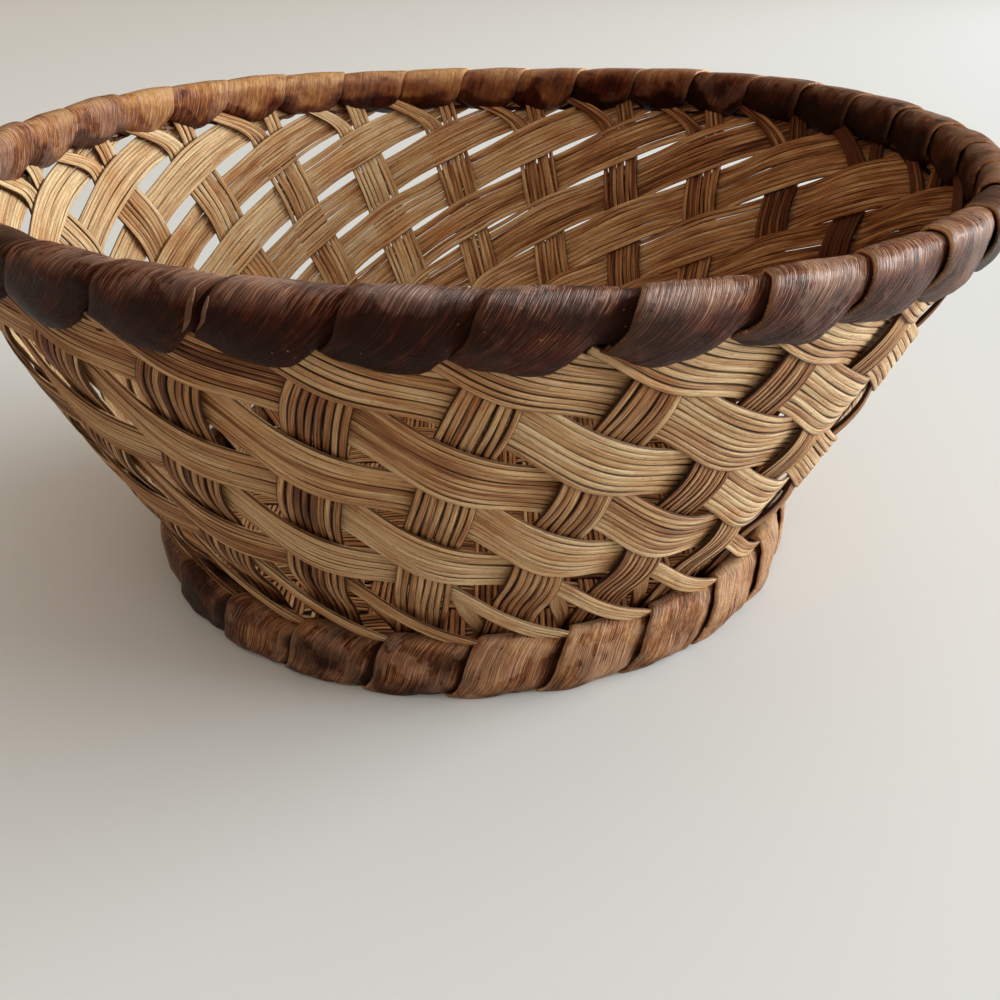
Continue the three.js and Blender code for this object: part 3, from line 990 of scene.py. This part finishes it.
# Materials
class Tree:
    """The nodes of a material or of the world."""

    def __init__(self, owner):
        owner.use_nodes = True
        self.nodes = owner.node_tree.nodes
        self.links = owner.node_tree.links

    def make(self, kind, **values):
        """A new node, with the named sockets filled."""
        node = self.nodes.new("ShaderNode" + kind)
        for name, value in values.items():
            self.fill(node.inputs[name], value)
        return node

    def fill(self, socket, value):
        """Links a node's output to the socket, or sets the socket to a colour or number."""
        if isinstance(value, bpy.types.NodeSocket):
            self.links.new(value, socket)
        elif isinstance(value, tuple):
            socket.default_value = (*value, 1)
        else:
            socket.default_value = value

    def attribute(self, name, output="Fac"):
        node = self.make("Attribute")
        node.attribute_name = name
        return node.outputs[output]

    def coordinates(self, output):
        return self.make("TexCoord").outputs[output]

    def parts(self, vector):
        return self.make("SeparateXYZ", Vector=vector).outputs

    def noise(self, vector, scale=1.0, detail=3.0, stretch=(1, 1, 1), roughness=0.55):
        mapping = self.make("Mapping", Vector=vector)
        mapping.inputs["Scale"].default_value = stretch
        texture = self.make("TexNoise", Scale=scale, Detail=detail, Roughness=roughness,
                            Vector=mapping.outputs["Vector"])
        return texture.outputs["Fac"]

    def ramp(self, value, *stops):
        node = self.make("ValToRGB", Fac=value)
        while len(node.color_ramp.elements) < len(stops):
            node.color_ramp.elements.new(0.5)
        for element, (position, colour) in zip(node.color_ramp.elements, stops):
            element.position = position
            element.color = (*colour, 1)
        return node.outputs["Color"]

    def blend(self, factor, first, second, way="MIX"):
        node = self.make("Mix")
        node.data_type = "RGBA"
        node.blend_type = way
        for value, socket in ((factor, 0), (first, 6), (second, 7)):
            self.fill(node.inputs[socket], value)
        return node.outputs[2]

    def arithmetic(self, way, first, second):
        node = self.make("Math")
        node.operation = way
        self.fill(node.inputs[0], first)
        self.fill(node.inputs[1], second)
        return node.outputs[0]

    def times(self, first, second):
        return self.arithmetic("MULTIPLY", first, second)

    def total(self, *parts):
        """The sum of values times their weights; a part without a value is a constant."""
        result = None
        for value, weight in parts:
            if value is None:
                result = self.arithmetic("ADD", result, weight)
                continue
            weighted = self.times(value, weight)
            result = weighted if result is None else self.arithmetic("ADD", result, weighted)
        return result

    def bump(self, shader, height, strength, distance):
        node = self.make("Bump", Strength=strength, Distance=distance, Height=height)
        self.fill(shader.inputs["Normal"], node.outputs["Normal"])


def new_material(name):
    material = bpy.data.materials.new(name)
    tree = Tree(material)
    return material, tree, tree.nodes["Principled BSDF"]


black = (0, 0, 0)
white = (1, 1, 1)

# Cane: colours from light to dark, and noises stretched along the splint
cane_colours = [
    (0.0, (0.91, 0.67, 0.39)), (0.33, (0.74, 0.465, 0.232)),
    (0.66, (0.45, 0.205, 0.085)), (1.0, (0.11, 0.031, 0.012)),
]
streak_stretch = (0.05, 3.2, 3.0)
hair_stretch = (0.09, 13.0, 3.0)
fleck_stretch = (0.6, 2.6, 3.0)
line_roughness = 0.65
streaks_in_depth = 1.8
shade_in_depth = 0.19
depth_shift = -1.13
stain_scale = 45


def make_splint_material():
    """Split cane: straw to brown from splint to splint, with long streaks and fine lines, painted shade on
    the splints' sides, and the painted shade and light that the shade attribute holds.
    """
    material, tree, shader = new_material("splint")
    grain = tree.attribute("grain", "Vector")
    streaks = tree.noise(grain, detail=4, stretch=streak_stretch, roughness=line_roughness)
    hairs = tree.noise(grain, stretch=hair_stretch, roughness=line_roughness)
    flecks = tree.noise(grain, stretch=fleck_stretch)
    stains = tree.noise(tree.coordinates("Object"), stain_scale, detail=4, roughness=0.6)
    side = tree.arithmetic("ABSOLUTE", tree.parts(grain)["Y"], 0.0)
    depth = tree.total((tree.attribute("tone"), 1.0), (streaks, streaks_in_depth),
                       (tree.attribute("shade"), shade_in_depth), (None, depth_shift))
    colour = tree.ramp(depth, *cane_colours)
    darker_layers = (
        (hairs, 0.8, (0.38, (0.36, 0.22, 0.15)), (0.53, white)),
        (flecks, 0.65, (0.61, white), (0.70, (0.34, 0.22, 0.15))),
        (stains, 0.8, (0.50, white), (0.68, (0.86, 0.66, 0.52))),
        # painted shade on each splint's sides, where it meets its neighbours
        (side, 0.92, (0.58, white), (0.82, (0.04, 0.012, 0.006))),
    )
    for value, share, *stops in darker_layers:
        colour = tree.blend(share, colour, tree.ramp(value, *stops), "MULTIPLY")
    tree.fill(shader.inputs["Base Color"], colour)
    shader.inputs["Roughness"].default_value = 0.45
    shader.inputs["Specular IOR Level"].default_value = 0.2
    shader.inputs["Specular Tint"].default_value = (1.0, 0.85, 0.7, 1)
    tree.bump(shader, tree.total((streaks, 1.0), (hairs, 0.6)), 0.7, 0.0005)
    return material


# Bark: noises stretched along the fibres, the pale film, which is painted sheen, the fibres' ridges, drawn
# pale partly as painted highlights, and the light specks
bark_stops = (0.0, 0.3, 0.62, 1.0)
broad_stretch = (0.6, 0.10, 1.0)
fine_stretch = (4.2, 0.13, 1.0)
sheen_film_scale = 62
sheen_film_stops = [(0.50, black), (0.525, white)]
sheen_film_by_shade = 1.1
sheen_film_shift = -0.085
sheen_film_in_depth = 0.5
ridge_stops = [(0.03, black), (0.12, white)]
ridges_by_shade = 2.2
ridges_by_patches = 0.8
ridge_shift = -0.55
speck_scale = 1300
speck_stops = [(0.76, black), (0.82, (0.6, 0.6, 0.6))]


def make_bark_material(name, colours, fibre_and_glint_colour, sheen_film_colour, pale, roughness, fibre_share, ridge_share,
                       sheen_film_share, patch_share, patch_scale):
    """Bark: fibre streaks along the strip, mottled patches, pale ridges that are partly the fibres' own
    colour and partly painted highlights, a pale film of painted sheen, worn edges with painted light in
    them, and painted shade and light from the shade attribute.
    """
    material, tree, shader = new_material(name)
    grain = tree.attribute("grain", "Vector")
    shade = tree.attribute("shade")
    fibrous = tree.attribute("fibrous")
    place = tree.coordinates("Object")
    broad = tree.noise(grain, stretch=broad_stretch, roughness=0.6)
    fine = tree.noise(grain, detail=2, stretch=fine_stretch, roughness=0.7)
    patches = tree.noise(place, patch_scale, detail=6, roughness=0.68)
    specks = tree.noise(place, speck_scale, detail=1)
    streaks = tree.times(tree.total((fine, 1.0), (None, -0.5)), fibrous)
    # Painted sheen in crisp pale patches, strongest where the shade holds painted light
    sheen_film = tree.ramp(tree.noise(place, sheen_film_scale, detail=6, roughness=0.6), *sheen_film_stops)
    most_sheen_film = tree.total((shade, sheen_film_by_shade), (None, sheen_film_shift))
    sheen_filmed = tree.times(sheen_film, tree.arithmetic("MINIMUM", most_sheen_film, sheen_film_share))
    sheen_filmed = tree.times(sheen_filmed, fibrous)
    depth = tree.total((shade, 1.0), (broad, 0.5 * fibre_share), (streaks, fibre_share),
                       (patches, patch_share), (sheen_filmed, sheen_film_in_depth),
                       (None, -0.5 * (0.5 * fibre_share + patch_share)))
    colour = tree.ramp(depth, *zip(bark_stops, colours))
    ridges = tree.ramp(streaks, *ridge_stops)
    # The ridges' pale colour is partly the fibres' own and partly a painted highlight, strongest where the
    # shade holds painted light
    where = tree.total((shade, ridges_by_shade * ridge_share), (patches, ridges_by_patches * ridge_share),
                       (sheen_filmed, 1.0), (None, ridge_shift * ridge_share))
    lighter_layers = (
        (tree.times(ridges, where), fibre_and_glint_colour), (sheen_filmed, sheen_film_colour),
        (tree.attribute("worn"), pale), (tree.ramp(specks, *speck_stops), pale),
    )
    for share, lighter in lighter_layers:
        colour = tree.blend(share, colour, lighter)
    tree.fill(shader.inputs["Base Color"], colour)
    shader.inputs["Roughness"].default_value = roughness
    shader.inputs["Specular IOR Level"].default_value = 0.25
    shader.inputs["Specular Tint"].default_value = (1.0, 0.7, 0.55, 1)
    tree.bump(shader, tree.total((fine, 1.0), (broad, 0.8), (patches, 0.8)), 1.0, 0.0016)
    return material


def make_hoop_material():
    """Raw split wood of the hoops inside the bindings."""
    material, tree, shader = new_material("hoop_wood")
    streaks = tree.noise(tree.attribute("grain", "Vector"), detail=4, stretch=(1.2, 0.04, 1.2))
    colour = tree.ramp(streaks, (0.3, (0.12, 0.06, 0.025)), (0.7, (0.26, 0.15, 0.07)))
    tree.fill(shader.inputs["Base Color"], colour)
    shader.inputs["Roughness"].default_value = 0.7
    tree.bump(shader, streaks, 0.4, 0.0005)
    return material


splint_material = make_splint_material()
rim_bark_material = make_bark_material(
    "rim_bark",
    colours=[(0.018, 0.0024, 0.001), (0.105, 0.0175, 0.0062), (0.35, 0.112, 0.033), (0.74, 0.38, 0.14)],
    fibre_and_glint_colour=(0.72, 0.45, 0.33), sheen_film_colour=(0.58, 0.42, 0.35), pale=(0.72, 0.40, 0.21),
    roughness=0.38, fibre_share=1.2, ridge_share=1.0, sheen_film_share=0.24, patch_share=1.25, patch_scale=70)
foot_bark_material = make_bark_material(
    "foot_bark",
    colours=[(0.022, 0.005, 0.0015), (0.13, 0.030, 0.008), (0.40, 0.138, 0.040), (0.74, 0.40, 0.17)],
    fibre_and_glint_colour=(0.76, 0.46, 0.27), sheen_film_colour=(0.62, 0.42, 0.30), pale=(0.64, 0.38, 0.21),
    roughness=0.42, fibre_share=1.3, ridge_share=0.8, sheen_film_share=0.2, patch_share=1.2, patch_scale=150)
hoop_material = make_hoop_material()

for bundle in range(bundles):
    slanting_bundle(bundle)
    upright_bundle(bundle)
for strip in range(strips_each_way):
    floor_strip(strip, False)
    floor_strip(strip, True)
rim_binding()
foot_binding()
hoop("rim", rim_radius, rim_middle,
     rim_half_thickness - rim_hoop_thinner, rim_half_height - rim_hoop_lower)
hoop("foot", foot_radius, foot_middle,
     foot_half_thickness - foot_hoop_thinner, foot_half_height - foot_hoop_lower)

# Stage, in metres
floor_reach = 20.0
floor_seen = (0.75, 0.78, 0.805)
floor_bounced = (0.45, 0.43, 0.40)


def make_floor():
    mesh = bpy.data.meshes.new("floor")
    corners = [(x * floor_reach, y * floor_reach, 0) for x, y in ((-1, -1), (1, -1), (1, 1), (-1, 1))]
    mesh.from_pydata(corners, [], [(0, 1, 2, 3)])
    floor = bpy.data.objects.new("floor", mesh)
    bpy.context.scene.collection.objects.link(floor)
    material, tree, shader = new_material("floor")
    path = tree.make("LightPath").outputs
    seen = tree.total(*((path[f"Is {kind} Ray"], 1.0) for kind in ("Camera", "Glossy", "Transmission")))
    tree.fill(shader.inputs["Base Color"], tree.blend(seen, floor_bounced, floor_seen))
    shader.inputs["Roughness"].default_value = 0.6
    mesh.materials.append(material)


def make_area_light(name, place, target, width, height, power, colour):
    data = bpy.data.lights.new(name, "AREA")
    data.shape = "RECTANGLE"
    data.size = width
    data.size_y = height
    data.energy = power
    data.color = colour
    light = bpy.data.objects.new(name, data)
    light.location = place
    light.rotation_mode = "QUATERNION"
    light.rotation_quaternion = (Vector(target) - Vector(place)).to_track_quat("-Z", "Y")
    bpy.context.scene.collection.objects.link(light)


# Lights: the world is darkest low at the back left and lightest high at the front right
sky_level = [("X", 0.30), ("Y", -0.20), ("Z", 0.38)]
sky_stops = [(0.12, (0.135, 0.080, 0.038)), (0.5, (0.362, 0.240, 0.135)), (0.95, (0.86, 0.80, 0.70))]


def make_lights():
    make_area_light("window", place=(3.0, 0.30, 0.68), target=(0, -0.55, 0.06), width=3.0, height=1.05,
                    power=180, colour=(0.85, 0.955, 1.0))
    make_area_light("room", place=(0.5, 2.2, 1.8), target=(0, 1.2, 0), width=2.0, height=2.0,
                    power=2, colour=(0.93, 0.97, 1.0))
    world = bpy.data.worlds.new("studio")
    tree = Tree(world)
    direction = tree.parts(tree.coordinates("Generated"))
    level = tree.total(*((direction[axis], weight) for axis, weight in sky_level), (None, 0.5))
    tree.fill(tree.nodes["Background"].inputs["Color"], tree.ramp(level, *sky_stops))
    bpy.context.scene.world = world


# Camera, from the ellipses of the rim and of the foot in the photograph, in metres and radians
camera_place = (0.00753, -0.33548, 0.19070)
camera_pitch_down = 0.50767
camera_yaw = -0.00262
camera_roll = -0.00454
camera_lens = 39.33


def make_camera():
    data = bpy.data.cameras.new("camera")
    data.sensor_width = 36.0
    data.lens = camera_lens
    data.clip_start = 0.01
    camera = bpy.data.objects.new("camera", data)
    forward = Vector((
        math.sin(camera_yaw) * math.cos(camera_pitch_down),
        math.cos(camera_yaw) * math.cos(camera_pitch_down),
        -math.sin(camera_pitch_down),
    ))
    level = forward.cross(Vector((0, 0, 1))).normalized()
    upward = level.cross(forward)
    right = level * math.cos(camera_roll) + upward * math.sin(camera_roll)
    above = upward * math.cos(camera_roll) - level * math.sin(camera_roll)
    turned = Matrix((right, above, -forward)).transposed()
    camera.matrix_world = Matrix.Translation(Vector(camera_place)) @ turned.to_4x4()
    bpy.context.scene.collection.objects.link(camera)
    bpy.context.scene.camera = camera


make_floor()
make_lights()
make_camera()
bpy.context.scene.view_settings.view_transform = "Standard"
